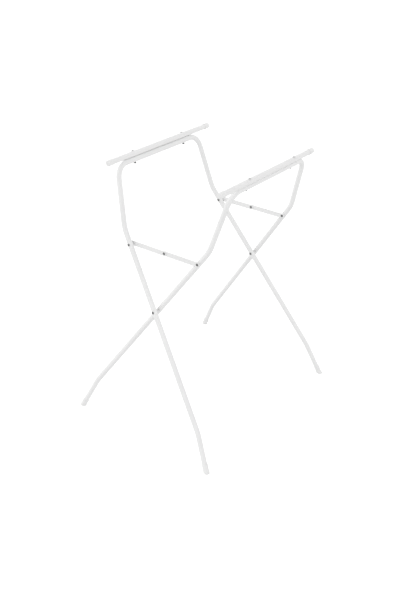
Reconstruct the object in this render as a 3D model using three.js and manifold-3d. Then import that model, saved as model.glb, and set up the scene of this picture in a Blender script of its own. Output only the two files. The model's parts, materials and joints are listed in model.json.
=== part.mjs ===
// Folding stand: two bent tube frames cross like an X, each carries a straight top rail, and two
// jointed strip braces hold them open. Millimetres, +Z up, X across the fold, Y along the rails.
// The stand is unchanged by a half turn about Z, so frame b is frame a turned by 180 degrees.

import * as THREE from "three";
import { mergeVertices } from "three/addons/utils/BufferGeometryUtils.js";
import Module from "manifold-3d";

const wasm = await Module();
wasm.setup();

// Round tube of the two frames and the two rails
const TUBE_RADIUS = 8.4;
const TUBE_WALL = 1.2;
const TUBE_SIDES = 16;
const BORE_SIDES = 12;

// Frame a, seen along the rails: x and z of the tube's centre line, and its half width along Y
const FOOT = { x: 268, z: 0, halfWidth: 349 };
const FOOT_BEND = { x: 216, z: 111, halfWidth: 327 };
const SHOULDER = { x: -149, z: 652, halfWidth: 227 };
const TOP = { x: -197, z: 831, halfWidth: 198 };
const FOOT_BEND_RADIUS = 150;
const SHOULDER_RADIUS = 105;
const CORNER_RADIUS = 47;
const BEND_STEP = THREE.MathUtils.degToRad(11);
const TUBE_END_ABOVE_SOLE = 7;

// Top rail; the two rails stand level with each other, whatever the shift between the frames
const RAIL_LENGTH = 494;
const RAIL_GAP = 0.4;
const RAIL_CAP_RADIUS = 9.5;
const RAIL_CAP_LENGTH = 22;
const RAIL_CAP_END = 2.4;

// Foot cap
const FOOT_CAP_RADIUS = 9.7;
const FOOT_CAP_LENGTH = 27;

// Strip braces, in two layers between the legs of the two frames
const BRACE_Z = 610;
const LINK_WIDTH = 16;
const LINK_THICKNESS = 1.6;
const LINK_GAP = 0.4;
const OUTER_STANDOFF = 12;
const INNER_STANDOFF = 10.4;

// Rivets, bolts and spacers
const SHANK_RADIUS = 2.5;
const RIVET_HEAD_RADIUS = 4.1;
const RIVET_HEAD_HEIGHT = 1.8;
const RIVET_TAIL_RADIUS = 3.9;
const RIVET_TAIL_HEIGHT = 1.5;
const BRACE_SPACER_RADIUS = 4.4;
const PIVOT_SPACER_RADIUS = 4.6;
const BOLT_OFFSET = 121;
const BOLT_RADIUS = 2;
const BOLT_HEAD_RADIUS = 3.8;
const BOLT_HEAD_HEIGHT = 1.8;
const SADDLE_RADIUS = 5;
const SADDLE_TOP = 0.8;
const NUT_ACROSS_FLATS = 7;
const NUT_HEIGHT = 3.2;
const BOLT_PAST_NUT = 1;
const BOLT_TIP_CHAMFER = 0.5;

// Clearances
const CLEARANCE = 0.3;
const HEAD_CLEARANCE = 0.2;
const SADDLE_DEPTH = 2;

// Sizes worked out from the ones above
const FRAME_SHIFT = OUTER_STANDOFF + 2 * LINK_THICKNESS + LINK_GAP + INNER_STANDOFF;
const LEG_RISE = SHOULDER.z - FOOT_BEND.z;
const LEG_RUN = SHOULDER.x - FOOT_BEND.x;
const LEG_LEAN = (FOOT_BEND.halfWidth - SHOULDER.halfWidth) / LEG_RISE;
const PIVOT_Z = FOOT_BEND.z + LEG_RISE * (FOOT_BEND.x / -LEG_RUN);
const SADDLE_CUT_RADIUS = TUBE_RADIUS + CLEARANCE;
const HOLE_RADIUS = SHANK_RADIUS + CLEARANCE;
const BOLT_HOLE_RADIUS = BOLT_RADIUS + CLEARANCE;
const UP = new THREE.Vector3(0, 1, 0);

// Materials

function whitePaint() {
  return new THREE.MeshStandardMaterial({ color: 0xf1f1ef, roughness: 0.35, metalness: 0 });
}

function whitePlastic() {
  return new THREE.MeshStandardMaterial({ color: 0xf6f6f4, roughness: 0.5, metalness: 0 });
}

function zincSteel() {
  return new THREE.MeshStandardMaterial({ color: 0x8d8f92, roughness: 0.4, metalness: 0.9 });
}

function brightSteel() {
  return new THREE.MeshStandardMaterial({ color: 0xd2d3d5, roughness: 0.35, metalness: 0.9 });
}

function greyPlastic() {
  return new THREE.MeshStandardMaterial({ color: 0xd3d4d4, roughness: 0.6, metalness: 0 });
}

// Solids: three.js geometry in and out of manifold-3d

function toSolid(geometry) {
  const bare = geometry.clone();
  bare.deleteAttribute("normal");
  bare.deleteAttribute("uv");
  const merged = mergeVertices(bare, 1e-4);
  const corners = merged.index.array;
  const kept = [];
  for (let i = 0; i < corners.length; i += 3) {
    const [a, b, c] = [corners[i], corners[i + 1], corners[i + 2]];
    if (a !== b && b !== c && c !== a) {
      kept.push(a, b, c);
    }
  }
  return new wasm.Manifold(new wasm.Mesh({
    numProp: 3,
    vertProperties: new Float32Array(merged.attributes.position.array),
    triVerts: new Uint32Array(kept),
  }));
}

function toGeometry(solid) {
  const mesh = solid.getMesh();
  const geometry = new THREE.BufferGeometry();
  geometry.setAttribute("position", new THREE.BufferAttribute(new Float32Array(mesh.vertProperties), 3));
  geometry.setIndex(new THREE.BufferAttribute(new Uint32Array(mesh.triVerts), 1));
  return geometry;
}

// A cylinder between two points
function rod(start, end, radius, sides) {
  const axis = end.clone().sub(start);
  const geometry = new THREE.CylinderGeometry(radius, radius, axis.length(), sides);
  geometry.applyQuaternion(new THREE.Quaternion().setFromUnitVectors(UP, axis.clone().normalize()));
  const middle = start.clone().add(end).multiplyScalar(0.5);
  geometry.translate(middle.x, middle.y, middle.z);
  return toSolid(geometry);
}

// A turned shape: outline points are [radius, distance along the axis], rising along the axis
function turned(outline, origin, axis, sides = BORE_SIDES) {
  const points = outline.map(([radius, along]) => new THREE.Vector2(radius, along));
  const geometry = new THREE.LatheGeometry(points, sides);
  geometry.applyQuaternion(new THREE.Quaternion().setFromUnitVectors(UP, axis));
  geometry.translate(origin.x, origin.y, origin.z);
  return toSolid(geometry);
}

// Places on frame a: side is -1 at the front (-Y) and +1 at the back

function onFrame(place, side) {
  return new THREE.Vector3(place.x, side * place.halfWidth - FRAME_SHIFT / 2, place.z);
}

function onLeg(z, side) {
  const share = (z - FOOT_BEND.z) / LEG_RISE;
  return onFrame(FOOT_BEND, side).lerp(onFrame(SHOULDER, side), share);
}

// The same place on frame b, by the half turn about Z
function turnedAbout(point) {
  return new THREE.Vector3(-point.x, -point.y, point.z);
}

// A path of straight runs joined by arcs, with stations only where it bends
class BentPath extends THREE.Curve {
  constructor(corners, radii) {
    super();
    this.stations = [];
    this.addStation(corners[0], corners[1].clone().sub(corners[0]));
    for (let i = 1; i < corners.length - 1; i += 1) {
      this.addArc(corners[i - 1], corners[i], corners[i + 1], radii[i - 1]);
    }
    const last = corners.length - 1;
    this.addStation(corners[last], corners[last].clone().sub(corners[last - 1]));
  }

  addStation(point, direction) {
    this.stations.push({ point: point.clone(), tangent: direction.clone().normalize() });
  }

  addArc(before, corner, after, radius) {
    const into = corner.clone().sub(before).normalize();
    const out = after.clone().sub(corner).normalize();
    const bend = into.angleTo(out);
    const start = corner.clone().addScaledVector(into, -radius * Math.tan(bend / 2));
    const inward = out.clone().addScaledVector(into, -out.dot(into)).normalize();
    const centre = start.clone().addScaledVector(inward, radius);
    const steps = Math.max(2, Math.ceil(bend / BEND_STEP));
    for (let step = 0; step <= steps; step += 1) {
      const angle = (bend * step) / steps;
      const point = centre.clone();
      point.addScaledVector(inward, -radius * Math.cos(angle));
      point.addScaledVector(into, radius * Math.sin(angle));
      const tangent = into.clone().multiplyScalar(Math.cos(angle));
      tangent.addScaledVector(inward, Math.sin(angle));
      this.addStation(point, tangent);
    }
  }

  get steps() {
    return this.stations.length - 1;
  }

  getPointAt(share, target = new THREE.Vector3()) {
    return target.copy(this.stations[Math.round(share * this.steps)].point);
  }

  getTangentAt(share, target = new THREE.Vector3()) {
    return target.copy(this.stations[Math.round(share * this.steps)].tangent);
  }
}

function tubeSection() {
  const section = new THREE.Shape();
  section.absarc(0, 0, TUBE_RADIUS, 0, 2 * Math.PI);
  const bore = new THREE.Path();
  bore.absarc(0, 0, TUBE_RADIUS - TUBE_WALL, 0, 2 * Math.PI, true);
  section.holes.push(bore);
  return section;
}

function tubeAlong(path) {
  return toSolid(new THREE.ExtrudeGeometry(tubeSection(), {
    steps: path.steps,
    curveSegments: TUBE_SIDES / 2,
    extrudePath: path,
  }));
}

// The frame tube runs from the front foot, over the top and down to the back foot
function framePath() {
  const front = [FOOT, FOOT_BEND, SHOULDER, TOP].map((place) => onFrame(place, -1));
  const back = [TOP, SHOULDER, FOOT_BEND, FOOT].map((place) => onFrame(place, 1));
  const corners = [...front, ...back];
  corners[0].copy(footAxisPoint(-1, TUBE_END_ABOVE_SOLE));
  corners[7].copy(footAxisPoint(1, TUBE_END_ABOVE_SOLE));
  const radii = [FOOT_BEND_RADIUS, SHOULDER_RADIUS, CORNER_RADIUS];
  return new BentPath(corners, [...radii, ...radii.slice().reverse()]);
}

function footAxis(side) {
  return onFrame(FOOT_BEND, side).sub(onFrame(FOOT, side)).normalize();
}

function footAxisPoint(side, distance) {
  return onFrame(FOOT, side).addScaledVector(footAxis(side), distance);
}

// Bolts run through a rail and the frame's top bar, in line with the upper leg
function boltAxis() {
  return new THREE.Vector3(TOP.x - SHOULDER.x, 0, TOP.z - SHOULDER.z).normalize();
}

function topBarCentre(side) {
  return new THREE.Vector3(TOP.x, boltY(side), TOP.z);
}

function boltY(side) {
  return side * BOLT_OFFSET - FRAME_SHIFT / 2;
}

function railCentre(y) {
  const centre = new THREE.Vector3(TOP.x, y, TOP.z);
  return centre.addScaledVector(boltAxis(), 2 * TUBE_RADIUS + RAIL_GAP);
}

function holeThrough(centre, axis, radius) {
  const reach = 2 * TUBE_RADIUS;
  const start = centre.clone().addScaledVector(axis, -reach);
  const end = centre.clone().addScaledVector(axis, reach);
  return rod(start, end, radius, BORE_SIDES);
}

// Cutter that gives a piece the curve of the leg or rail it sits on
function saddleCutter(centre, direction) {
  const reach = 20;
  const start = centre.clone().addScaledVector(direction, -reach);
  const end = centre.clone().addScaledVector(direction, reach);
  return rod(start, end, SADDLE_CUT_RADIUS, TUBE_SIDES);
}

function legDirection(side) {
  return onFrame(SHOULDER, side).sub(onFrame(FOOT_BEND, side)).normalize();
}

function frameTube() {
  let solid = tubeAlong(framePath());
  for (const side of [-1, 1]) {
    for (const z of [PIVOT_Z, BRACE_Z]) {
      solid = solid.subtract(holeThrough(onLeg(z, side), UP, HOLE_RADIUS));
    }
    solid = solid.subtract(holeThrough(topBarCentre(side), boltAxis(), BOLT_HOLE_RADIUS));
  }
  return solid;
}

function rail() {
  const half = RAIL_LENGTH / 2;
  let solid = tubeAlong(new BentPath([railCentre(-half), railCentre(half)], []));
  for (const side of [-1, 1]) {
    solid = solid.subtract(holeThrough(railCentre(boltY(side)), boltAxis(), BOLT_HOLE_RADIUS));
  }
  return solid;
}

// Cup over a rail's end, with a rounded rim
function railCap(side) {
  const axis = new THREE.Vector3(0, -side, 0);
  const end = railCentre(side * (RAIL_LENGTH / 2 + CLEARANCE + RAIL_CAP_END));
  const rim = 1.2;
  const outline = [
    [0, 0],
    [RAIL_CAP_RADIUS - 2 * rim, 0],
    [RAIL_CAP_RADIUS - 0.6 * rim, 0.6 * rim],
    [RAIL_CAP_RADIUS, 2 * rim],
    [RAIL_CAP_RADIUS, RAIL_CAP_LENGTH - rim / 2],
    [RAIL_CAP_RADIUS - rim / 2, RAIL_CAP_LENGTH],
    [SADDLE_CUT_RADIUS, RAIL_CAP_LENGTH],
    [SADDLE_CUT_RADIUS, RAIL_CAP_END],
    [0, RAIL_CAP_END],
  ];
  return turned(outline, end, axis, TUBE_SIDES);
}

// Cup over a leg's lower end, cut level so that it stands flat on the floor
function footCap(side) {
  const below = 8;
  const rim = 0.6;
  const outline = [
    [0, -below],
    [FOOT_CAP_RADIUS, -below],
    [FOOT_CAP_RADIUS, FOOT_CAP_LENGTH - rim],
    [FOOT_CAP_RADIUS - rim, FOOT_CAP_LENGTH],
    [SADDLE_CUT_RADIUS, FOOT_CAP_LENGTH],
    [SADDLE_CUT_RADIUS, TUBE_END_ABOVE_SOLE - CLEARANCE],
    [0, TUBE_END_ABOVE_SOLE - CLEARANCE],
  ];
  const cup = turned(outline, onFrame(FOOT, side), footAxis(side), TUBE_SIDES);
  const size = 80;
  const floor = new THREE.BoxGeometry(size, size, size);
  const foot = onFrame(FOOT, side);
  floor.translate(foot.x, foot.y, -size / 2);
  return cup.subtract(toSolid(floor));
}

// Brace link: a strip with round ends and a hole at each end, from the leg to the middle of the stand
function braceLink(side) {
  const hinge = onLeg(BRACE_Z, side);
  const length = -hinge.x;
  const half = LINK_WIDTH / 2;
  const strip = new THREE.Shape();
  strip.absarc(0, 0, half, Math.PI / 2, (3 * Math.PI) / 2);
  strip.absarc(length, 0, half, -Math.PI / 2, Math.PI / 2);
  for (const x of [0, length]) {
    const hole = new THREE.Path();
    hole.absarc(x, 0, HOLE_RADIUS, 0, 2 * Math.PI, true);
    strip.holes.push(hole);
  }
  const geometry = new THREE.ExtrudeGeometry(strip, {
    depth: LINK_THICKNESS,
    bevelEnabled: false,
    curveSegments: BORE_SIDES / 2,
  });
  geometry.rotateX(Math.PI / 2);
  geometry.translate(hinge.x, linkFace(side) + LINK_THICKNESS, hinge.z);
  return toSolid(geometry);
}

// Y of the link's face nearest its own leg; on frame a both links lie on the +Y side of their legs
function linkFace(side) {
  return onLeg(BRACE_Z, side).y + standoff(side);
}

function standoff(side) {
  return side < 0 ? OUTER_STANDOFF : INNER_STANDOFF;
}

// Domed rivet head: outline points of a head of this radius, from its underside up to the crown
function dome(radius, height, base) {
  return [
    [radius, base],
    [radius, base - 0.35 * height],
    [0.8 * radius, base - 0.75 * height],
    [0.4 * radius, base - 0.96 * height],
    [0, base - height],
  ].reverse();
}

// Rivet along +Y whose head is curved to its leg; its tail is a low round button
function rivet(centre, direction, tailFace) {
  const crown = -TUBE_RADIUS - HEAD_CLEARANCE;
  const reach = tailFace - centre.y;
  const outline = [
    ...dome(RIVET_HEAD_RADIUS, RIVET_HEAD_HEIGHT, crown),
    [RIVET_HEAD_RADIUS, crown + SADDLE_DEPTH],
    [SHANK_RADIUS, crown + SADDLE_DEPTH],
    [SHANK_RADIUS, reach],
    [RIVET_TAIL_RADIUS, reach],
    [RIVET_TAIL_RADIUS, reach + 0.4 * RIVET_TAIL_HEIGHT],
    [0.6 * RIVET_TAIL_RADIUS, reach + RIVET_TAIL_HEIGHT],
    [0, reach + RIVET_TAIL_HEIGHT],
  ];
  const body = turned(outline, centre, UP);
  const top = centre.clone().setY(centre.y + crown);
  const shank = rod(top, centre.clone().setY(tailFace), SHANK_RADIUS, BORE_SIDES);
  return body.subtract(saddleCutter(centre, direction)).add(shank);
}

function braceRivet(side) {
  const tailFace = linkFace(side) + LINK_THICKNESS + CLEARANCE;
  return rivet(onLeg(BRACE_Z, side), legDirection(side), tailFace);
}

// The front pivot rivet joins frame a's outer leg to frame b's inner leg
function pivotRivet() {
  const outer = onLeg(PIVOT_Z, -1);
  const inner = turnedAbout(onLeg(PIVOT_Z, 1));
  const tailFace = inner.y + tiltedReach(RIVET_TAIL_RADIUS);
  return rivet(outer, legDirection(-1), tailFace);
}

// How far a flat face of this radius must stand from a leaning leg's centre to clear it
function tiltedReach(radius) {
  return TUBE_RADIUS * Math.hypot(1, LEG_LEAN) + LEG_LEAN * radius + CLEARANCE;
}

// Ring along +Y from the leg's curve to a flat face
function spacer(centre, direction, radius, face) {
  const start = TUBE_RADIUS - SADDLE_DEPTH;
  const end = face - centre.y;
  const outline = [
    [HOLE_RADIUS, start],
    [radius, start],
    [radius, end],
    [HOLE_RADIUS, end],
    [HOLE_RADIUS, start],
  ];
  return turned(outline, centre, UP).subtract(saddleCutter(centre, direction));
}

function braceSpacer(side) {
  const face = linkFace(side) - CLEARANCE;
  return spacer(onLeg(BRACE_Z, side), legDirection(side), BRACE_SPACER_RADIUS, face);
}

function pivotSpacer() {
  const inner = turnedAbout(onLeg(PIVOT_Z, 1));
  const face = inner.y - tiltedReach(PIVOT_SPACER_RADIUS);
  return spacer(onLeg(PIVOT_Z, -1), legDirection(-1), PIVOT_SPACER_RADIUS, face);
}

// The middle rivet of a brace is made as two halves, one on each link
function hingeHalf(side) {
  const centre = new THREE.Vector3(0, linkFace(side), BRACE_Z);
  const outline = [
    ...dome(RIVET_HEAD_RADIUS, RIVET_HEAD_HEIGHT, -CLEARANCE),
    [SHANK_RADIUS, -CLEARANCE],
    [SHANK_RADIUS, LINK_THICKNESS],
    [0, LINK_THICKNESS],
  ];
  return turned(outline, centre, UP);
}

// Rail fastenings

function railBolt(side) {
  const axis = boltAxis();
  const top = railCentre(boltY(side));
  const underside = TUBE_RADIUS + CLEARANCE + SADDLE_TOP + CLEARANCE;
  const tip = -(2 * TUBE_RADIUS + RAIL_GAP + TUBE_RADIUS + NUT_HEIGHT + 2 * CLEARANCE + BOLT_PAST_NUT);
  const outline = [
    [0, tip],
    [0.8 * BOLT_RADIUS, tip],
    [BOLT_RADIUS, tip + BOLT_TIP_CHAMFER],
    [BOLT_RADIUS, underside],
    [BOLT_HEAD_RADIUS, underside],
    [BOLT_HEAD_RADIUS, underside + 0.35 * BOLT_HEAD_HEIGHT],
    [0.75 * BOLT_HEAD_RADIUS, underside + 0.8 * BOLT_HEAD_HEIGHT],
    [0.35 * BOLT_HEAD_RADIUS, underside + BOLT_HEAD_HEIGHT],
    [0, underside + BOLT_HEAD_HEIGHT],
  ];
  return turned(outline, top, axis);
}

function saddleWasher(side) {
  const centre = railCentre(boltY(side));
  const start = TUBE_RADIUS - SADDLE_DEPTH;
  const end = TUBE_RADIUS + CLEARANCE + SADDLE_TOP;
  const outline = [
    [BOLT_HOLE_RADIUS, start],
    [SADDLE_RADIUS, start],
    [SADDLE_RADIUS, end],
    [BOLT_HOLE_RADIUS, end],
    [BOLT_HOLE_RADIUS, start],
  ];
  return turned(outline, centre, boltAxis()).subtract(saddleCutter(centre, UP));
}

function nut(side) {
  const radius = NUT_ACROSS_FLATS / Math.sqrt(3);
  const top = -(TUBE_RADIUS + CLEARANCE);
  const bottom = top - NUT_HEIGHT;
  const outline = [[0, bottom], [radius, bottom], [radius, top], [0, top]];
  const hexagon = 6;
  const block = turned(outline, topBarCentre(side), boltAxis(), hexagon);
  return block.subtract(holeThrough(topBarCentre(side), boltAxis(), BOLT_HOLE_RADIUS));
}

// Assembly

function addPiece(group, name, solid, material) {
  const mesh = new THREE.Mesh(toGeometry(solid), material);
  mesh.name = name;
  group.add(mesh);
}

// Everything that belongs to one frame; a half turn swaps front and back
function frameAssembly(letter, isTurned) {
  const half = new THREE.Group();
  half.rotation.z = isTurned ? Math.PI : 0;
  const sideNames = isTurned ? { "-1": "back", "1": "front" } : { "-1": "front", "1": "back" };
  addPiece(half, `frame_${letter}_tube`, frameTube(), whitePaint());
  addPiece(half, `rail_${letter}_tube`, rail(), whitePaint());
  addPiece(half, `pivot_rivet_${sideNames[-1]}`, pivotRivet(), zincSteel());
  addPiece(half, `pivot_spacer_${sideNames[-1]}`, pivotSpacer(), greyPlastic());
  for (const side of [-1, 1]) {
    const place = `${letter}_${sideNames[side]}`;
    addPiece(half, `foot_cap_${place}`, footCap(side), whitePlastic());
    addPiece(half, `rail_cap_${place}`, railCap(side), whitePlastic());
    addPiece(half, `brace_link_${place}`, braceLink(side), whitePaint());
    addPiece(half, `brace_rivet_${place}`, braceRivet(side), zincSteel());
    addPiece(half, `brace_spacer_${place}`, braceSpacer(side), greyPlastic());
    addPiece(half, `brace_hinge_half_${place}`, hingeHalf(side), zincSteel());
    addPiece(half, `rail_bolt_${place}`, railBolt(side), brightSteel());
    addPiece(half, `saddle_washer_${place}`, saddleWasher(side), whitePlastic());
    addPiece(half, `nut_${place}`, nut(side), zincSteel());
  }
  return half;
}

const stand = new THREE.Group();
stand.add(frameAssembly("a", false));
stand.add(frameAssembly("b", true));

export default stand;
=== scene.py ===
"""Folding stand of white bent tube: the detailed pieces, their finishes, light and camera.

Pieces are built in millimetres in the frame of the CAD model (+Z up, X across the fold, Y along
the rails) and scaled to metres when they are published. The stand is unchanged by a half turn
about Z, so every piece is built for frame a and turned for frame b.
"""

import json
import math

import bmesh
import bpy
from mathutils import Matrix, Vector


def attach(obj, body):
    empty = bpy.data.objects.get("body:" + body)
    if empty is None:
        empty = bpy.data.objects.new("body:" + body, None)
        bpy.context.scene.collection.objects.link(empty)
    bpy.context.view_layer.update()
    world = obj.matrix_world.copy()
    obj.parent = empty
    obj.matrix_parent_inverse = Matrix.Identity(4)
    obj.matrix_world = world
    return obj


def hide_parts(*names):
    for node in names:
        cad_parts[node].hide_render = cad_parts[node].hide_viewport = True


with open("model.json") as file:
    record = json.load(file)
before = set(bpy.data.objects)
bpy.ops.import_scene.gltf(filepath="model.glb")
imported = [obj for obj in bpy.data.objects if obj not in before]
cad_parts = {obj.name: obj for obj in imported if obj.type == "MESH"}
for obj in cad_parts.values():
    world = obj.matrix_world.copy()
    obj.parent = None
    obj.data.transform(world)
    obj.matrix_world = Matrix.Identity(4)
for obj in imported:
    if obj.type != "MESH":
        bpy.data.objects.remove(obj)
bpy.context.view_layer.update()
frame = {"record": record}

MM = 0.001

# Round tube of the two frames and the two rails
TUBE_RADIUS = 8.4
TUBE_WALL = 1.2
TUBE_SIDES = 48
RING_SPACING = 24.0
BEND_STEP = math.radians(3)

# Frame a: x, z and half width along Y of the tube's centre line at its corners
FOOT = (268, 0, 349)
FOOT_BEND = (216, 111, 327)
SHOULDER = (-149, 652, 227)
TOP = (-197, 831, 198)
FOOT_BEND_RADIUS = 150
SHOULDER_RADIUS = 105
CORNER_RADIUS = 47
TUBE_END_ABOVE_SOLE = 7

# Top rail and its caps; the two rails stand level with each other
RAIL_LENGTH = 494
RAIL_GAP = 0.4
RAIL_CAP_RADIUS = 9.5
RAIL_CAP_LENGTH = 22
RAIL_CAP_END = 2.4
RAIL_CAP_COLLAR = 3
RAIL_CAP_STEP = 0.3
RAIL_CAP_SHOULDER = 1.5
GATE_MARK_RADIUS = 1.2
GATE_MARK_DEPTH = 0.35

# Foot cap
FOOT_CAP_RADIUS = 9.7
FOOT_CAP_LENGTH = 27
FOOT_CAP_BELOW = 8
FOOT_CAP_HEEL = 7.5
FOOT_CAP_COLLAR = 3.4
FOOT_CAP_STEP = 0.35
SOLE_EDGE = 0.7

# Strip braces
BRACE_Z = 610
LINK_WIDTH = 16
LINK_THICKNESS = 1.6
LINK_GAP = 0.4
LINK_EDGE = 0.45
OUTER_STANDOFF = 12
INNER_STANDOFF = 10.4

# Rivets, bolts, spacers and nuts
SHANK_RADIUS = 2.5
RIVET_HEAD_RADIUS = 4.1
RIVET_HEAD_HEIGHT = 1.8
RIVET_TAIL_RADIUS = 3.9
RIVET_TAIL_HEIGHT = 1.5
HEAD_DIMPLE = 0.15
EYELET_RADIUS = 1.35
EYELET_DEPTH = 1.6
BRACE_SPACER_RADIUS = 4.4
PIVOT_SPACER_RADIUS = 4.6
BOLT_OFFSET = 121
BOLT_RADIUS = 2.0
BOLT_HEAD_RADIUS = 3.8
BOLT_HEAD_HEIGHT = 1.8
BOLT_CROWN_DROP = 0.1
BOLT_PAST_NUT = 1
RECESS_LENGTH = 3.6
RECESS_WIDTH = 0.8
RECESS_DEPTH = 1.3
RECESS_TAPER = 0.45
THREAD_PITCH = 0.7
THREAD_DEPTH = 0.3
THREAD_LENGTH = 12
THREAD_LEAD_IN = 0.4
SADDLE_RADIUS = 5.0
SADDLE_TOP = 0.8
NUT_ACROSS_FLATS = 7
NUT_HEIGHT = 3.2
SMALL_SIDES = 40

# Clearances
CLEARANCE = 0.3
HEAD_CLEARANCE = 0.2
SADDLE_DEPTH = 2

# Shaping: reach of the cutting tools, and angles of sharp edges and rounded corners
TOOL_REACH = 20
TOOL_MARGIN = 0.1
SHARP_ANGLE = math.radians(35)
ROUNDING_STEP = math.radians(18)

# Sizes worked out from the ones above
FRAME_SHIFT = OUTER_STANDOFF + 2 * LINK_THICKNESS + LINK_GAP + INNER_STANDOFF
LEG_RISE = SHOULDER[1] - FOOT_BEND[1]
LEG_RUN = FOOT_BEND[0] - SHOULDER[0]
LEG_LEAN = (FOOT_BEND[2] - SHOULDER[2]) / LEG_RISE
PIVOT_Z = FOOT_BEND[1] + LEG_RISE * FOOT_BEND[0] / LEG_RUN
BRACE_X = FOOT_BEND[0] - LEG_RUN * (BRACE_Z - FOOT_BEND[1]) / LEG_RISE
SADDLE_CUT_RADIUS = TUBE_RADIUS + CLEARANCE
HOLE_RADIUS = SHANK_RADIUS + CLEARANCE
BOLT_HOLE_RADIUS = BOLT_RADIUS + CLEARANCE
ALONG_Y = Vector((0, 1, 0))
HALF_TURN = Matrix.Rotation(math.pi, 4, "Z")

# Wear, in metres: where a joint's rub marks start to fade and end, and how high the darkening near
# the floor reaches
RUB_FULL = 0.0046
RUB_GONE = 0.0062
FLOOR_DARKENING_HEIGHT = 0.006

# Camera: where it stands in metres, where it looks, and its lens
CAMERA_PLACE = (1.3883, -1.9802, 1.6780)
CAMERA_AZIMUTH = 35.64
CAMERA_ELEVATION = 28.77
CAMERA_ROLL = 1.54
CAMERA_LENS = 49.85
FILM_WIDTH = 36
CAMERA_NEAR = 0.05
CAMERA_FAR = 100

# Studio: the brightness of the room as seen and as a light, the floor, and two softboxes
ROOM_SEEN = 1.05
ROOM_LIGHT = 0.745
FLOOR_RADIUS = 40
FLOOR_GLOW = 0.55
KEY_LIGHT = 0.75
KEY_SPREAD = 50
KEY_AZIMUTH = -55
KEY_ELEVATION = 40
FILL_LIGHT = 0.47
FILL_SPREAD = 80
FILL_AZIMUTH = 90
FILL_ELEVATION = 20


# Places on frame a: side is -1 at the front (-Y) and +1 at the back


def on_frame(place, side):
    x, z, half_width = place
    return Vector((x, side * half_width - FRAME_SHIFT / 2, z))


def on_leg(z, side):
    share = (z - FOOT_BEND[1]) / LEG_RISE
    return on_frame(FOOT_BEND, side).lerp(on_frame(SHOULDER, side), share)


def half_turned(point):
    return Vector((-point.x, -point.y, point.z))


def leg_direction(side):
    return (on_frame(SHOULDER, side) - on_frame(FOOT_BEND, side)).normalized()


def foot_axis(side):
    return (on_frame(FOOT_BEND, side) - on_frame(FOOT, side)).normalized()


def bolt_axis():
    return Vector((TOP[0] - SHOULDER[0], 0, TOP[1] - SHOULDER[1])).normalized()


def bolt_y(side):
    return side * BOLT_OFFSET - FRAME_SHIFT / 2


def top_bar_centre(side):
    return Vector((TOP[0], bolt_y(side), TOP[1]))


def rail_centre(y):
    centre = Vector((TOP[0], y, TOP[1]))
    return centre + bolt_axis() * (2 * TUBE_RADIUS + RAIL_GAP)


def link_face(side):
    """Y of a link's face nearest its own leg."""
    standoff = OUTER_STANDOFF if side < 0 else INNER_STANDOFF
    return on_leg(BRACE_Z, side).y + standoff


def tilted_reach(radius):
    """How far a flat face of this radius stands from a leaning leg's centre to clear it."""
    return TUBE_RADIUS * math.hypot(1, LEG_LEAN) + LEG_LEAN * radius + CLEARANCE


# Curves


def arc_stations(before, corner, after, radius, step):
    """(point, direction) pairs along the arc that rounds a corner, in two or three dimensions."""
    into = (corner - before).normalized()
    out = (after - corner).normalized()
    bend = into.angle(out)
    start = corner - into * (radius * math.tan(bend / 2))
    inward = (out - into * out.dot(into)).normalized()
    centre = start + inward * radius
    count = max(2, math.ceil(bend / step))
    stations = []
    for i in range(count + 1):
        angle = bend * i / count
        point = centre - inward * (radius * math.cos(angle)) + into * (radius * math.sin(angle))
        stations.append((point, into * math.cos(angle) + inward * math.sin(angle)))
    return stations


def straight_stations(start, end):
    """Evenly spaced stations between two points, both left out."""
    run = end - start
    count = math.ceil(run.length / RING_SPACING)
    return [(start.lerp(end, i / count), run.normalized()) for i in range(1, count)]


def tube_path(corners, radii):
    """Stations of a tube of straight runs joined by bends."""
    stations = [(corners[0], (corners[1] - corners[0]).normalized())]
    for i, radius in enumerate(radii, start=1):
        bend = arc_stations(corners[i - 1], corners[i], corners[i + 1], radius, BEND_STEP)
        stations += straight_stations(stations[-1][0], bend[0][0]) + bend
    stations += straight_stations(stations[-1][0], corners[-1])
    stations.append((corners[-1], (corners[-1] - corners[-2]).normalized()))
    return stations


def rounded(outline):
    """Outline points (radius, along), or (radius, along, fillet) where the corner is rounded off."""
    places = [Vector(point[:2]) for point in outline]
    smooth = []
    for i, point in enumerate(outline):
        if len(point) == 3:
            after = places[(i + 1) % len(places)]
            arc = arc_stations(places[i - 1], places[i], after, point[2], ROUNDING_STEP)
            smooth += [place for place, _ in arc]
        else:
            smooth.append(places[i])
    return smooth


# Meshes


def ring(bm, centre, across, up, radius, sides):
    angles = [2 * math.pi * i / sides for i in range(sides)]
    return [
        bm.verts.new(centre + (across * math.cos(angle) + up * math.sin(angle)) * radius)
        for angle in angles
    ]


def bridge(bm, first, second):
    """Faces between two rings, either of which may be a single point."""
    sides = max(len(first), len(second))
    for i in range(sides):
        corners = [first[i % len(first)], first[(i + 1) % len(first)]]
        corners += [second[(i + 1) % len(second)], second[i % len(second)]]
        bm.faces.new(list(dict.fromkeys(corners)))


def to_object(bm, name):
    """An object in millimetres from a closed bmesh, its faces turned outwards."""
    bmesh.ops.recalc_face_normals(bm, faces=bm.faces)
    mesh = bpy.data.meshes.new(name)
    bm.to_mesh(mesh)
    bm.free()
    piece = bpy.data.objects.new(name, mesh)
    bpy.context.scene.collection.objects.link(piece)
    return piece


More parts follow.
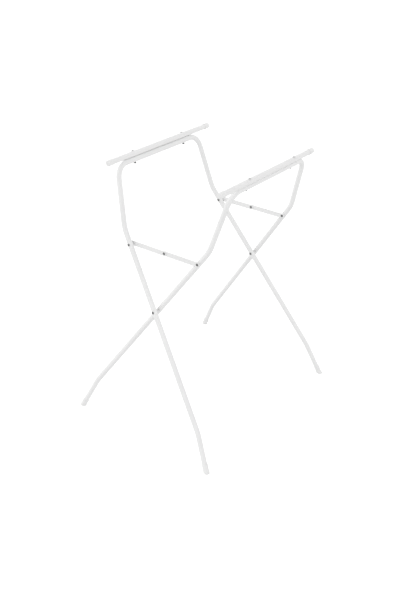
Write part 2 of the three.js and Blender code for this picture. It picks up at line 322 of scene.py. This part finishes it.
def swept_tube(stations, name):
    """A hollow tube along a path, whose rings don't twist."""
    bm = bmesh.new()
    direction = stations[0][1]
    across = direction.orthogonal().normalized()
    outer, inner = [], []
    for point, tangent in stations:
        across = direction.rotation_difference(tangent) @ across
        direction = tangent
        up = direction.cross(across).normalized()
        across = up.cross(direction).normalized()
        outer.append(ring(bm, point, across, up, TUBE_RADIUS, TUBE_SIDES))
        inner.append(ring(bm, point, across, up, TUBE_RADIUS - TUBE_WALL, TUBE_SIDES))
    for wall in (outer, inner):
        for first, second in zip(wall, wall[1:]):
            bridge(bm, first, second)
    bridge(bm, outer[0], inner[0])
    bridge(bm, outer[-1], inner[-1])
    return to_object(bm, name)


def turned(outline, origin, axis, name, sides=SMALL_SIDES):
    """A turned shape. The outline closes on itself, or starts and ends on the axis."""
    bm = bmesh.new()
    across = axis.orthogonal().normalized()
    up = axis.cross(across)
    points = rounded(outline)
    is_loop = points[0].x > 0
    rings = []
    for radius, along in points:
        centre = origin + axis * along
        if radius > 0:
            rings.append(ring(bm, centre, across, up, radius, sides))
        else:
            rings.append([bm.verts.new(centre)])
    for first, second in zip(rings, rings[1:]):
        bridge(bm, first, second)
    if is_loop:
        bridge(bm, rings[-1], rings[0])
    return to_object(bm, name)


def rod(start, end, radius, sides=SMALL_SIDES):
    length = (end - start).length
    outline = [(0, 0), (radius, 0), (radius, length), (0, length)]
    return turned(outline, start, (end - start).normalized(), "rod", sides)


def rod_through(centre, direction, radius, reach, sides=SMALL_SIDES):
    return rod(centre - direction * reach, centre + direction * reach, radius, sides)


def apply_modifiers(piece):
    graph = bpy.context.evaluated_depsgraph_get()
    mesh = bpy.data.meshes.new_from_object(piece.evaluated_get(graph))
    piece.modifiers.clear()
    old = piece.data
    piece.data = mesh
    bpy.data.meshes.remove(old)


def combine(piece, tool, operation):
    """Exact boolean of a piece with a tool, which is used up."""
    modifier = piece.modifiers.new("combine", "BOOLEAN")
    modifier.solver = "EXACT"
    modifier.operation = operation
    modifier.object = tool
    apply_modifiers(piece)
    bpy.data.objects.remove(tool)


def cut(piece, tool):
    combine(piece, tool, "DIFFERENCE")


def cut_saddle(piece, centre, direction):
    """Gives a piece the curve of the tube that it sits on."""
    cut(piece, rod_through(centre, direction, SADDLE_CUT_RADIUS, TOOL_REACH, TUBE_SIDES))


def cut_hole(piece, centre, direction, radius):
    cut(piece, rod_through(centre, direction, radius, 2 * TUBE_RADIUS))


# Tubes


def frame_tube():
    """One bent tube from the front foot, over the top, to the back foot."""
    corners = [on_frame(place, -1) for place in (FOOT, FOOT_BEND, SHOULDER, TOP)]
    corners += [on_frame(place, 1) for place in (TOP, SHOULDER, FOOT_BEND, FOOT)]
    corners[0] += foot_axis(-1) * TUBE_END_ABOVE_SOLE
    corners[-1] += foot_axis(1) * TUBE_END_ABOVE_SOLE
    radii = [FOOT_BEND_RADIUS, SHOULDER_RADIUS, CORNER_RADIUS]
    tube = swept_tube(tube_path(corners, radii + radii[::-1]), "frame_tube")
    for side in (-1, 1):
        for z in (PIVOT_Z, BRACE_Z):
            cut_hole(tube, on_leg(z, side), ALONG_Y, HOLE_RADIUS)
        cut_hole(tube, top_bar_centre(side), bolt_axis(), BOLT_HOLE_RADIUS)
    return tube


def rail_tube():
    ends = [rail_centre(-RAIL_LENGTH / 2), rail_centre(RAIL_LENGTH / 2)]
    tube = swept_tube(tube_path(ends, []), "rail_tube")
    for side in (-1, 1):
        cut_hole(tube, rail_centre(bolt_y(side)), bolt_axis(), BOLT_HOLE_RADIUS)
    return tube


# Plastic caps


def rail_cap(side):
    """A cup with a crowned end, a gate mark at its middle and a collar round its mouth."""
    end = rail_centre(side * (RAIL_LENGTH / 2 + CLEARANCE + RAIL_CAP_END))
    body = RAIL_CAP_RADIUS - RAIL_CAP_STEP
    mouth = RAIL_CAP_LENGTH
    collar = mouth - RAIL_CAP_COLLAR
    outline = [
        (0, GATE_MARK_DEPTH),
        (GATE_MARK_RADIUS - 0.3, GATE_MARK_DEPTH, 0.15),
        (GATE_MARK_RADIUS, 0, 0.15),
        (body - RAIL_CAP_SHOULDER, 0.2, 3),
        (body, RAIL_CAP_SHOULDER + 0.1, 1.2),
        (body, collar - 0.4, 0.2),
        (RAIL_CAP_RADIUS, collar, 0.2),
        (RAIL_CAP_RADIUS, mouth, 0.5),
        (SADDLE_CUT_RADIUS, mouth, 0.2),
        (SADDLE_CUT_RADIUS, RAIL_CAP_END),
        (0, RAIL_CAP_END),
    ]
    return turned(outline, end, Vector((0, -side, 0)), "rail_cap", TUBE_SIDES)


def foot_cap(side):
    """A cup with a collar round its mouth and a level sole with a rounded edge."""
    body = FOOT_CAP_RADIUS - FOOT_CAP_STEP
    mouth = FOOT_CAP_LENGTH
    collar = mouth - FOOT_CAP_COLLAR
    outline = [
        (0, -FOOT_CAP_BELOW),
        (FOOT_CAP_RADIUS, -FOOT_CAP_BELOW),
        (FOOT_CAP_RADIUS, FOOT_CAP_HEEL, 0.8),
        (body, FOOT_CAP_HEEL + 1, 0.8),
        (body, collar - 0.6, 0.3),
        (FOOT_CAP_RADIUS, collar, 0.3),
        (FOOT_CAP_RADIUS, mouth, 0.6),
        (SADDLE_CUT_RADIUS, mouth, 0.2),
        (SADDLE_CUT_RADIUS, TUBE_END_ABOVE_SOLE - CLEARANCE),
        (0, TUBE_END_ABOVE_SOLE - CLEARANCE),
    ]
    cap = turned(outline, on_frame(FOOT, side), foot_axis(side), "foot_cap", TUBE_SIDES)
    level_sole(cap.data)
    return cap


def level_sole(mesh):
    """Cuts a foot cap off at the floor and rounds the edge of the cut."""
    bm = bmesh.new()
    bm.from_mesh(mesh)
    whole = bm.verts[:] + bm.edges[:] + bm.faces[:]
    made = bmesh.ops.bisect_plane(
        bm, geom=whole, plane_co=(0, 0, 0), plane_no=(0, 0, -1), clear_outer=True
    )
    rim = [part for part in made["geom_cut"] if isinstance(part, bmesh.types.BMEdge)]
    bmesh.ops.contextual_create(bm, geom=rim)
    bmesh.ops.bevel(bm, geom=rim, offset=SOLE_EDGE, segments=3, profile=0.5, affect="EDGES")
    bm.to_mesh(mesh)
    bm.free()


# Braces


def brace_link(side):
    """A strip with round ends, rounded edges and a hole at each end."""
    hinge = on_leg(BRACE_Z, side)
    ends = [hinge.x, 0.0]
    bm = bmesh.new()
    levels = []
    for depth, inset in edge_levels():
        y = link_face(side) + depth
        levels.append([stadium(bm, ends, y, LINK_WIDTH / 2 - inset)])
        for x in ends:
            centre = Vector((x, y, BRACE_Z))
            hole = HOLE_RADIUS + inset / 2
            levels[-1].append(
                ring(bm, centre, Vector((1, 0, 0)), Vector((0, 0, 1)), hole, SMALL_SIDES)
            )
    for lower, upper in zip(levels, levels[1:]):
        for first, second in zip(lower, upper):
            bridge(bm, first, second)
    bm.edges.index_update()
    for level in (levels[0], levels[-1]):
        rims = [edge for loop in level for edge in loop_edges(bm, loop)]
        bmesh.ops.triangle_fill(bm, edges=rims, use_beauty=True)
    return to_object(bm, "brace_link")


def edge_levels():
    """Depth through the strip and how far its outline draws in there."""
    steps = 3
    near = []
    for i in range(steps + 1):
        angle = math.pi / 2 * i / steps
        near.append((LINK_EDGE * (1 - math.cos(angle)), LINK_EDGE * (1 - math.sin(angle))))
    far = [(LINK_THICKNESS - depth, inset) for depth, inset in reversed(near)]
    return near + far


def stadium(bm, ends, y, radius):
    """The outline of a strip with half-round ends, in the plane of this y."""
    half = SMALL_SIDES // 2
    first, second = sorted(ends)
    loop = []
    for centre, start in ((first, math.pi / 2), (second, -math.pi / 2)):
        for i in range(half + 1):
            angle = start + math.pi * i / half
            place = (centre + radius * math.cos(angle), y, BRACE_Z + radius * math.sin(angle))
            loop.append(bm.verts.new(place))
    return loop


def loop_edges(bm, loop):
    return [bm.edges.get((loop[i - 1], loop[i])) for i in range(len(loop))]


# Rivets and spacers


def dome(radius, height, base):
    """Outline of a domed head with a dimple in its crown, from the crown to its base."""
    crown = base - height
    return [
        (0, crown + HEAD_DIMPLE),
        (0.22 * radius, crown + HEAD_DIMPLE, 0.2),
        (0.34 * radius, crown, 0.3),
        (0.8 * radius, base - 0.78 * height, 2.2),
        (radius, base - 0.2 * height, 0.8),
        (radius, base),
    ]


def rivet(centre, direction, tail_face, name):
    """A rivet along +Y: domed head curved to its tube, and a tail rolled over like an eyelet."""
    head = -TUBE_RADIUS - HEAD_CLEARANCE
    tail = tail_face - centre.y
    roll = tail + RIVET_TAIL_HEIGHT
    outline = dome(RIVET_HEAD_RADIUS, RIVET_HEAD_HEIGHT, head)[:-1]
    outline += [
        (RIVET_HEAD_RADIUS, head + SADDLE_DEPTH),
        (SHANK_RADIUS, head + SADDLE_DEPTH),
        (SHANK_RADIUS, tail),
        (RIVET_TAIL_RADIUS, tail, 0.2),
        (RIVET_TAIL_RADIUS, tail + 0.9, 0.5),
        (0.62 * RIVET_TAIL_RADIUS, roll, 0.8),
        (EYELET_RADIUS, roll - 0.25, 0.4),
        (EYELET_RADIUS - 0.25, tail - EYELET_DEPTH + 0.4),
        (0, tail - EYELET_DEPTH),
    ]
    piece = turned(outline, centre, ALONG_Y, name)
    cut_saddle(piece, centre, direction)
    shank_start = centre + ALONG_Y * (head - 0.3)
    shank_end = centre + ALONG_Y * (tail - EYELET_DEPTH - 0.9)
    combine(piece, rod(shank_start, shank_end, SHANK_RADIUS), "UNION")
    return piece


def brace_rivet(side):
    tail_face = link_face(side) + LINK_THICKNESS + CLEARANCE
    return rivet(on_leg(BRACE_Z, side), leg_direction(side), tail_face, "brace_rivet")


def pivot_rivet():
    inner = half_turned(on_leg(PIVOT_Z, 1))
    tail_face = inner.y + tilted_reach(RIVET_TAIL_RADIUS)
    return rivet(on_leg(PIVOT_Z, -1), leg_direction(-1), tail_face, "pivot_rivet")


def spacer(centre, direction, radius, face, name):
    """A ring along +Y from a leg's curve to a flat face."""
    start = TUBE_RADIUS - SADDLE_DEPTH
    end = face - centre.y
    outline = [
        (HOLE_RADIUS, start),
        (radius, start),
        (radius, end, 0.35),
        (HOLE_RADIUS, end, 0.2),
    ]
    piece = turned(outline, centre, ALONG_Y, name)
    cut_saddle(piece, centre, direction)
    return piece


def brace_spacer(side):
    face = link_face(side) - CLEARANCE
    return spacer(
        on_leg(BRACE_Z, side), leg_direction(side), BRACE_SPACER_RADIUS, face, "brace_spacer"
    )


def pivot_spacer():
    inner = half_turned(on_leg(PIVOT_Z, 1))
    face = inner.y - tilted_reach(PIVOT_SPACER_RADIUS)
    return spacer(
        on_leg(PIVOT_Z, -1), leg_direction(-1), PIVOT_SPACER_RADIUS, face, "pivot_spacer"
    )


def hinge_half(side):
    """One link's half of a brace's middle rivet."""
    centre = Vector((0, link_face(side), BRACE_Z))
    outline = dome(RIVET_HEAD_RADIUS, RIVET_HEAD_HEIGHT, -CLEARANCE)
    outline += [
        (SHANK_RADIUS, -CLEARANCE),
        (SHANK_RADIUS, LINK_THICKNESS, 0.2),
        (0, LINK_THICKNESS),
    ]
    return turned(outline, centre, ALONG_Y, "hinge_half")


# Rail fastenings


def rail_bolt(side):
    """A pan head bolt with a cross recess and a threaded end."""
    axis = bolt_axis()
    top = rail_centre(bolt_y(side))
    underside = TUBE_RADIUS + CLEARANCE + SADDLE_TOP + CLEARANCE
    crown = underside + BOLT_HEAD_HEIGHT - BOLT_CROWN_DROP
    tip = -(3 * TUBE_RADIUS + RAIL_GAP + NUT_HEIGHT + 2 * CLEARANCE + BOLT_PAST_NUT)
    thread = tip + THREAD_LEAD_IN
    outline = [(0, tip), (0.75 * BOLT_RADIUS, tip)]
    ridges = round(THREAD_LENGTH / THREAD_PITCH)
    for i in range(ridges):
        along = thread + i * THREAD_PITCH
        outline += [(BOLT_RADIUS, along), (BOLT_RADIUS - THREAD_DEPTH, along + THREAD_PITCH / 2)]
    outline += [
        (BOLT_RADIUS, thread + ridges * THREAD_PITCH),
        (BOLT_RADIUS, underside),
        (BOLT_HEAD_RADIUS, underside, 0.2),
        (BOLT_HEAD_RADIUS, underside + 0.35 * BOLT_HEAD_HEIGHT, 0.4),
        (0.75 * BOLT_HEAD_RADIUS, underside + 0.8 * BOLT_HEAD_HEIGHT, 1),
        (0.35 * BOLT_HEAD_RADIUS, crown, 1),
        (0, crown),
    ]
    bolt = turned(outline, top, axis, "rail_bolt")
    for turn in (0, math.pi / 2):
        cut(bolt, recess_slot(top + axis * crown, axis, turn))
    return bolt


def recess_slot(crown, axis, turn):
    """A tapered bar that cuts one arm of a cross recess."""
    across = Matrix.Rotation(turn, 3, axis) @ ALONG_Y
    up = axis.cross(across) * (RECESS_WIDTH / 2)
    bm = bmesh.new()
    loops = []
    for along, share in ((CLEARANCE, 1.0), (-RECESS_DEPTH, RECESS_TAPER)):
        centre = crown + axis * along
        arm = across * (RECESS_LENGTH * share / 2)
        corners = [centre - arm - up, centre + arm - up, centre + arm + up, centre - arm + up]
        loops.append([bm.verts.new(corner) for corner in corners])
    bridge(bm, *loops)
    for loop in loops:
        bm.faces.new(loop)
    return to_object(bm, "slot")


def saddle_washer(side):
    centre = rail_centre(bolt_y(side))
    start = TUBE_RADIUS - SADDLE_DEPTH
    end = TUBE_RADIUS + CLEARANCE + SADDLE_TOP
    outline = [
        (BOLT_HOLE_RADIUS, start),
        (SADDLE_RADIUS, start),
        (SADDLE_RADIUS, end, 0.6),
        (BOLT_HOLE_RADIUS, end, 0.2),
    ]
    piece = turned(outline, centre, bolt_axis(), "saddle_washer")
    cut_saddle(piece, centre, ALONG_Y)
    return piece


def nut(side):
    """A hexagon nut with chamfered corners and a plain round hole."""
    centre = top_bar_centre(side)
    axis = bolt_axis()
    corner = NUT_ACROSS_FLATS / math.sqrt(3)
    flat = NUT_ACROSS_FLATS / 2
    top = -(TUBE_RADIUS + CLEARANCE)
    bottom = top - NUT_HEIGHT
    chamfer = (corner - flat) * math.tan(math.radians(30))
    block = turned(
        [(0, bottom), (corner, bottom), (corner, top), (0, top)], centre, axis, "nut", 6
    )
    inset = chamfer + 2 * TOOL_MARGIN
    limit = [
        (0, bottom),
        (flat - TOOL_MARGIN, bottom),
        (corner + TOOL_MARGIN, bottom + inset),
        (corner + TOOL_MARGIN, top - inset),
        (flat - TOOL_MARGIN, top),
        (0, top),
    ]
    combine(block, turned(limit, centre, axis, "limit"), "INTERSECT")
    cut(block, rod(centre + axis * (bottom - 1), centre + axis * (top + 1), BOLT_HOLE_RADIUS))
    return block


# Procedural finishes


class Finish:
    """A node material built on one Principled shader."""

    def __init__(self, name, constants):
        self.material = bpy.data.materials.new(name)
        self.material.use_nodes = True
        self.nodes = self.material.node_tree.nodes
        self.links = self.material.node_tree.links
        self.shader = self.nodes["Principled BSDF"]
        for socket, value in constants.items():
            self.shader.inputs[socket].default_value = value
        self.place = self.nodes.new("ShaderNodeTexCoord").outputs["Object"]

    def noise(self, per_metre, detail=2.0, stretch=(1, 1, 1)):
        """A smooth random pattern with this many features to the metre, from 0 to 1."""
        scaled = self.nodes.new("ShaderNodeMapping")
        scaled.inputs["Scale"].default_value = [per_metre * s for s in stretch]
        texture = self.nodes.new("ShaderNodeTexNoise")
        texture.inputs["Scale"].default_value = 1.0
        texture.inputs["Detail"].default_value = detail
        self.links.new(self.place, scaled.inputs["Vector"])
        self.links.new(scaled.outputs["Vector"], texture.inputs["Vector"])
        return texture.outputs["Fac"]

    def spread(self, value, low, high, start=0.0, end=1.0):
        """Maps value from low..high to start..end, held at the ends."""
        node = self.nodes.new("ShaderNodeMapRange")
        node.interpolation_type = "SMOOTHSTEP"
        self.links.new(value, node.inputs["Value"])
        limits = {"From Min": low, "From Max": high, "To Min": start, "To Max": end}
        for socket, number in limits.items():
            node.inputs[socket].default_value = number
        return node.outputs["Result"]

    def combine(self, operation, first, second):
        node = self.nodes.new("ShaderNodeMath")
        node.operation = operation
        for socket, value in zip(node.inputs, (first, second)):
            if isinstance(value, (int, float)):
                socket.default_value = value
            else:
                self.links.new(value, socket)
        return node.outputs["Value"]

    def blend(self, share, first, second):
        """Colour that goes from first to second; each is a colour or a colour output."""
        node = self.nodes.new("ShaderNodeMix")
        node.data_type = "RGBA"
        self.links.new(share, node.inputs["Factor"])
        for socket, colour in zip((node.inputs[6], node.inputs[7]), (first, second)):
            if isinstance(colour, tuple):
                socket.default_value = (*colour, 1.0)
            else:
                self.links.new(colour, socket)
        return node.outputs[2]

    def bump(self, height, depth, under=None):
        """Relief of this depth in metres, on top of an earlier relief."""
        node = self.nodes.new("ShaderNodeBump")
        node.inputs["Distance"].default_value = depth
        self.links.new(height, node.inputs["Height"])
        if under is not None:
            self.links.new(under, node.inputs["Normal"])
        return node.outputs["Normal"]

    def connect(self, colour, roughness, normal):
        self.links.new(colour, self.shader.inputs["Base Color"])
        self.links.new(roughness, self.shader.inputs["Roughness"])
        self.links.new(normal, self.shader.inputs["Normal"])
        return self.material

    def distance_to(self, x, z):
        """Distance in metres from the line along Y through this x and z, given in millimetres."""
        flat = self.nodes.new("ShaderNodeVectorMath")
        flat.operation = "MULTIPLY"
        flat.inputs[1].default_value = (1, 0, 1)
        self.links.new(self.place, flat.inputs[0])
        gap = self.nodes.new("ShaderNodeVectorMath")
        gap.operation = "DISTANCE"
        gap.inputs[1].default_value = (x * MM, 0, z * MM)
        self.links.new(flat.outputs["Vector"], gap.inputs[0])
        return gap.outputs["Value"]

    def rub_marks(self):
        """1 where a rivet head or spacer turns against the paint, broken up by noise."""
        nearest = None
        for x, z in ((0, PIVOT_Z), (BRACE_X, BRACE_Z), (-BRACE_X, BRACE_Z), (0, BRACE_Z)):
            gap = self.distance_to(x, z)
            nearest = gap if nearest is None else self.combine("MINIMUM", nearest, gap)
        near = self.spread(nearest, RUB_FULL, RUB_GONE, 1.0, 0.0)
        return self.combine("MULTIPLY", near, self.spread(self.noise(900, 3.0), 0.4, 0.65))

    def height_above_floor(self):
        parts = self.nodes.new("ShaderNodeSeparateXYZ")
        self.links.new(self.place, parts.inputs["Vector"])
        return parts.outputs["Z"]


def white_paint():
    """Powder coat: slow drift of tone, fine orange peel, rub marks at the joints."""
    finish = Finish("powder_coat", {"IOR": 1.4, "Specular IOR Level": 0.25})
    drift = finish.spread(finish.noise(9), 0.35, 0.65)
    tone = finish.blend(drift, (0.9, 0.9, 0.9), (0.92, 0.92, 0.918))
    speck = finish.spread(finish.noise(2400, 1.0), 0.62, 0.75, 0.0, 0.12)
    tone = finish.blend(speck, tone, (0.84, 0.84, 0.84))
    marks = finish.rub_marks()
    tone = finish.blend(finish.combine("MULTIPLY", marks, 0.35), tone, (0.42, 0.42, 0.42))
    roughness = finish.spread(finish.noise(60, 3.0), 0.3, 0.7, 0.5, 0.6)
    roughness = finish.combine("ADD", roughness, finish.combine("MULTIPLY", marks, 0.15))
    normal = finish.bump(finish.noise(650, 1.0), 0.00006)
    return finish.connect(tone, roughness, normal)


def white_plastic():
    """Moulded plastic: fine grain, faint flow marks, darker in noisy patches close to the floor."""
    finish = Finish("moulded_plastic", {"IOR": 1.46})
    flow = finish.spread(finish.noise(70, 3.0, (1, 1, 0.3)), 0.3, 0.7)
    tone = finish.blend(flow, (0.89, 0.89, 0.888), (0.92, 0.92, 0.917))
    # The colour darkens in noisy patches within this height of the floor
    low = finish.spread(finish.height_above_floor(), 0.0, FLOOR_DARKENING_HEIGHT, 1.0, 0.0)
    floor_darkening = finish.combine("MULTIPLY", low, finish.spread(finish.noise(420, 4.0), 0.45, 0.7))
    tone = finish.blend(finish.combine("MULTIPLY", floor_darkening, 0.22), tone, (0.42, 0.41, 0.39))
    roughness = finish.spread(finish.noise(160), 0.3, 0.7, 0.42, 0.54)
    normal = finish.bump(finish.noise(1700, 2.0), 0.00004)
    return finish.connect(tone, roughness, normal)


def zinc_steel():
    return plated_steel("dull_zinc", 0.19, 0.3, 0.08)


def bright_steel():
    return plated_steel("bright_zinc", 0.66, 0.78, 0.4)


def plated_steel(name, dark, light, pit):
    """Zinc plate: cloudy tone from dark to light, with small darker pits and fine drawn lines."""
    finish = Finish(name, {"Metallic": 1.0})
    cloud = finish.spread(finish.noise(380, 3.0), 0.35, 0.65)
    tone = finish.blend(cloud, (dark, dark, dark), (light, light, light))
    pits = finish.spread(finish.noise(2600, 1.0), 0.64, 0.72, 0.0, 0.5)
    tone = finish.blend(pits, tone, (pit, pit, pit))
    roughness = finish.spread(finish.noise(520, 3.0), 0.3, 0.7, 0.3, 0.5)
    lines = finish.noise(900, 2.0, (1, 5, 1))
    normal = finish.bump(lines, 0.00003)
    return finish.connect(tone, roughness, normal)


def grey_plastic():
    """Grey nylon: slightly mottled, with a fine grain."""
    finish = Finish("grey_nylon", {"IOR": 1.53})
    mottle = finish.spread(finish.noise(300, 3.0), 0.3, 0.7)
    tone = finish.blend(mottle, (0.72, 0.72, 0.72), (0.78, 0.78, 0.775))
    roughness = finish.spread(finish.noise(240), 0.3, 0.7, 0.45, 0.6)
    normal = finish.bump(finish.noise(1500, 2.0), 0.00003)
    return finish.connect(tone, roughness, normal)


# Assembly

FINISHES = {
    "white_paint": white_paint(),
    "white_plastic": white_plastic(),
    "zinc_steel": zinc_steel(),
    "bright_steel": bright_steel(),
    "grey_plastic": grey_plastic(),
}
BODY_OF = {
    node: body for body, nodes in frame["record"]["behaviour"]["bodies"].items() for node in nodes
}


def smooth(piece):
    """Smooth shading that keeps sharp edges, with flat faces left flat."""
    piece.data.shade_smooth()
    piece.data.set_sharp_from_angle(angle=SHARP_ANGLE)
    modifier = piece.modifiers.new("normals", "WEIGHTED_NORMAL")
    modifier.keep_sharp = True
    apply_modifiers(piece)


def publish(piece, node, slot, is_turned):
    """Puts a finished piece in the place of a CAD node, in metres, on that node's body."""
    piece.name = f"{node}_fine"
    if is_turned:
        piece.data.transform(HALF_TURN)
    piece.data.transform(Matrix.Scale(MM, 4))
    smooth(piece)
    piece.data.name = piece.name
    piece.data.materials.clear()
    piece.data.materials.append(FINISHES[slot])
    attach(piece, BODY_OF[node])
    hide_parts(node)


def copy_of(piece):
    double = piece.copy()
    double.data = piece.data.copy()
    bpy.context.scene.collection.objects.link(double)
    return double


def publish_pair(piece, node_a, node_b, slot):
    """Publishes a piece on frame a and its half-turned double on frame b."""
    double = copy_of(piece)
    publish(piece, node_a, slot, False)
    publish(double, node_b, slot, True)


def build_stand():
    publish_pair(frame_tube(), "frame_a_tube", "frame_b_tube", "white_paint")
    publish_pair(rail_tube(), "rail_a_tube", "rail_b_tube", "white_paint")
    publish_pair(pivot_rivet(), "pivot_rivet_front", "pivot_rivet_back", "zinc_steel")
    publish_pair(pivot_spacer(), "pivot_spacer_front", "pivot_spacer_back", "grey_plastic")
    paired = (
        ("foot_cap", foot_cap, "white_plastic"),
        ("rail_cap", rail_cap, "white_plastic"),
        ("brace_link", brace_link, "white_paint"),
        ("brace_rivet", brace_rivet, "zinc_steel"),
        ("brace_spacer", brace_spacer, "grey_plastic"),
        ("brace_hinge_half", hinge_half, "zinc_steel"),
        ("rail_bolt", rail_bolt, "bright_steel"),
        ("saddle_washer", saddle_washer, "white_plastic"),
        ("nut", nut, "zinc_steel"),
    )
    for name, build, slot in paired:
        for side, end, far_end in ((-1, "front", "back"), (1, "back", "front")):
            publish_pair(build(side), f"{name}_a_{end}", f"{name}_b_{far_end}", slot)


# Studio


def floor():
    """A pale seamless floor with a faint mottle, which looks brighter than the light it gives."""
    bm = bmesh.new()
    bmesh.ops.create_circle(bm, cap_ends=True, radius=FLOOR_RADIUS, segments=96)
    mesh = bpy.data.meshes.new("floor")
    bm.to_mesh(mesh)
    bm.free()
    piece = bpy.data.objects.new("floor", mesh)
    bpy.context.scene.collection.objects.link(piece)
    finish = Finish("pale_floor", {"Specular IOR Level": 0.2, "Emission Color": (1, 1, 1, 1)})
    is_seen = finish.nodes.new("ShaderNodeLightPath").outputs["Is Camera Ray"]
    glow = finish.combine("MULTIPLY", is_seen, FLOOR_GLOW)
    finish.links.new(glow, finish.shader.inputs["Emission Strength"])
    mottle = finish.spread(finish.noise(3), 0.3, 0.7)
    tone = finish.blend(mottle, (0.84, 0.84, 0.84), (0.86, 0.86, 0.86))
    roughness = finish.spread(finish.noise(20), 0.3, 0.7, 0.85, 0.95)
    mesh.materials.append(finish.connect(tone, roughness, finish.bump(finish.noise(400), 0.00002)))


def softbox(name, strength, spread, azimuth, elevation):
    """Broad even light from one direction; azimuth 0 comes from -Y and 90 from +X."""
    light = bpy.data.lights.new(name, "SUN")
    light.energy = strength
    light.angle = math.radians(spread)
    lamp = bpy.data.objects.new(name, light)
    lamp.rotation_mode = "QUATERNION"
    lamp.rotation_quaternion = back_of(azimuth, elevation).to_track_quat("Z", "Y")
    bpy.context.scene.collection.objects.link(lamp)


def back_of(azimuth, elevation):
    """Unit vector from the stand towards this direction."""
    a, e = math.radians(azimuth), math.radians(elevation)
    return Vector((math.sin(a) * math.cos(e), -math.cos(a) * math.cos(e), math.sin(e)))


def white_room():
    """White surroundings that look brighter than the light they give."""
    world = bpy.data.worlds.new("white_room")
    world.use_nodes = True
    nodes, links = world.node_tree.nodes, world.node_tree.links
    seen = nodes["Background"]
    seen.inputs["Color"].default_value = (1, 1, 1, 1)
    seen.inputs["Strength"].default_value = ROOM_SEEN
    light = nodes.new("ShaderNodeBackground")
    light.inputs["Color"].default_value = (1, 1, 1, 1)
    light.inputs["Strength"].default_value = ROOM_LIGHT
    mix = nodes.new("ShaderNodeMixShader")
    links.new(nodes.new("ShaderNodeLightPath").outputs["Is Camera Ray"], mix.inputs[0])
    links.new(light.outputs[0], mix.inputs[1])
    links.new(seen.outputs[0], mix.inputs[2])
    links.new(mix.outputs[0], nodes["World Output"].inputs["Surface"])
    bpy.context.scene.world = world


def studio():
    white_room()
    softbox("key", KEY_LIGHT, KEY_SPREAD, KEY_AZIMUTH, KEY_ELEVATION)
    softbox("fill", FILL_LIGHT, FILL_SPREAD, FILL_AZIMUTH, FILL_ELEVATION)
    floor()
    bpy.context.scene.view_settings.view_transform = "Standard"


def camera():
    data = bpy.data.cameras.new("camera")
    data.lens = CAMERA_LENS
    data.sensor_width = FILM_WIDTH
    data.clip_start = CAMERA_NEAR
    data.clip_end = CAMERA_FAR
    lens = bpy.data.objects.new("camera", data)
    back = back_of(CAMERA_AZIMUTH, CAMERA_ELEVATION)
    lens.rotation_mode = "QUATERNION"
    level = back.to_track_quat("Z", "Y")
    roll = Matrix.Rotation(math.radians(CAMERA_ROLL), 3, back).to_quaternion()
    lens.rotation_quaternion = roll @ level
    lens.location = CAMERA_PLACE
    bpy.context.scene.collection.objects.link(lens)
    bpy.context.scene.camera = lens


build_stand()
studio()
camera()
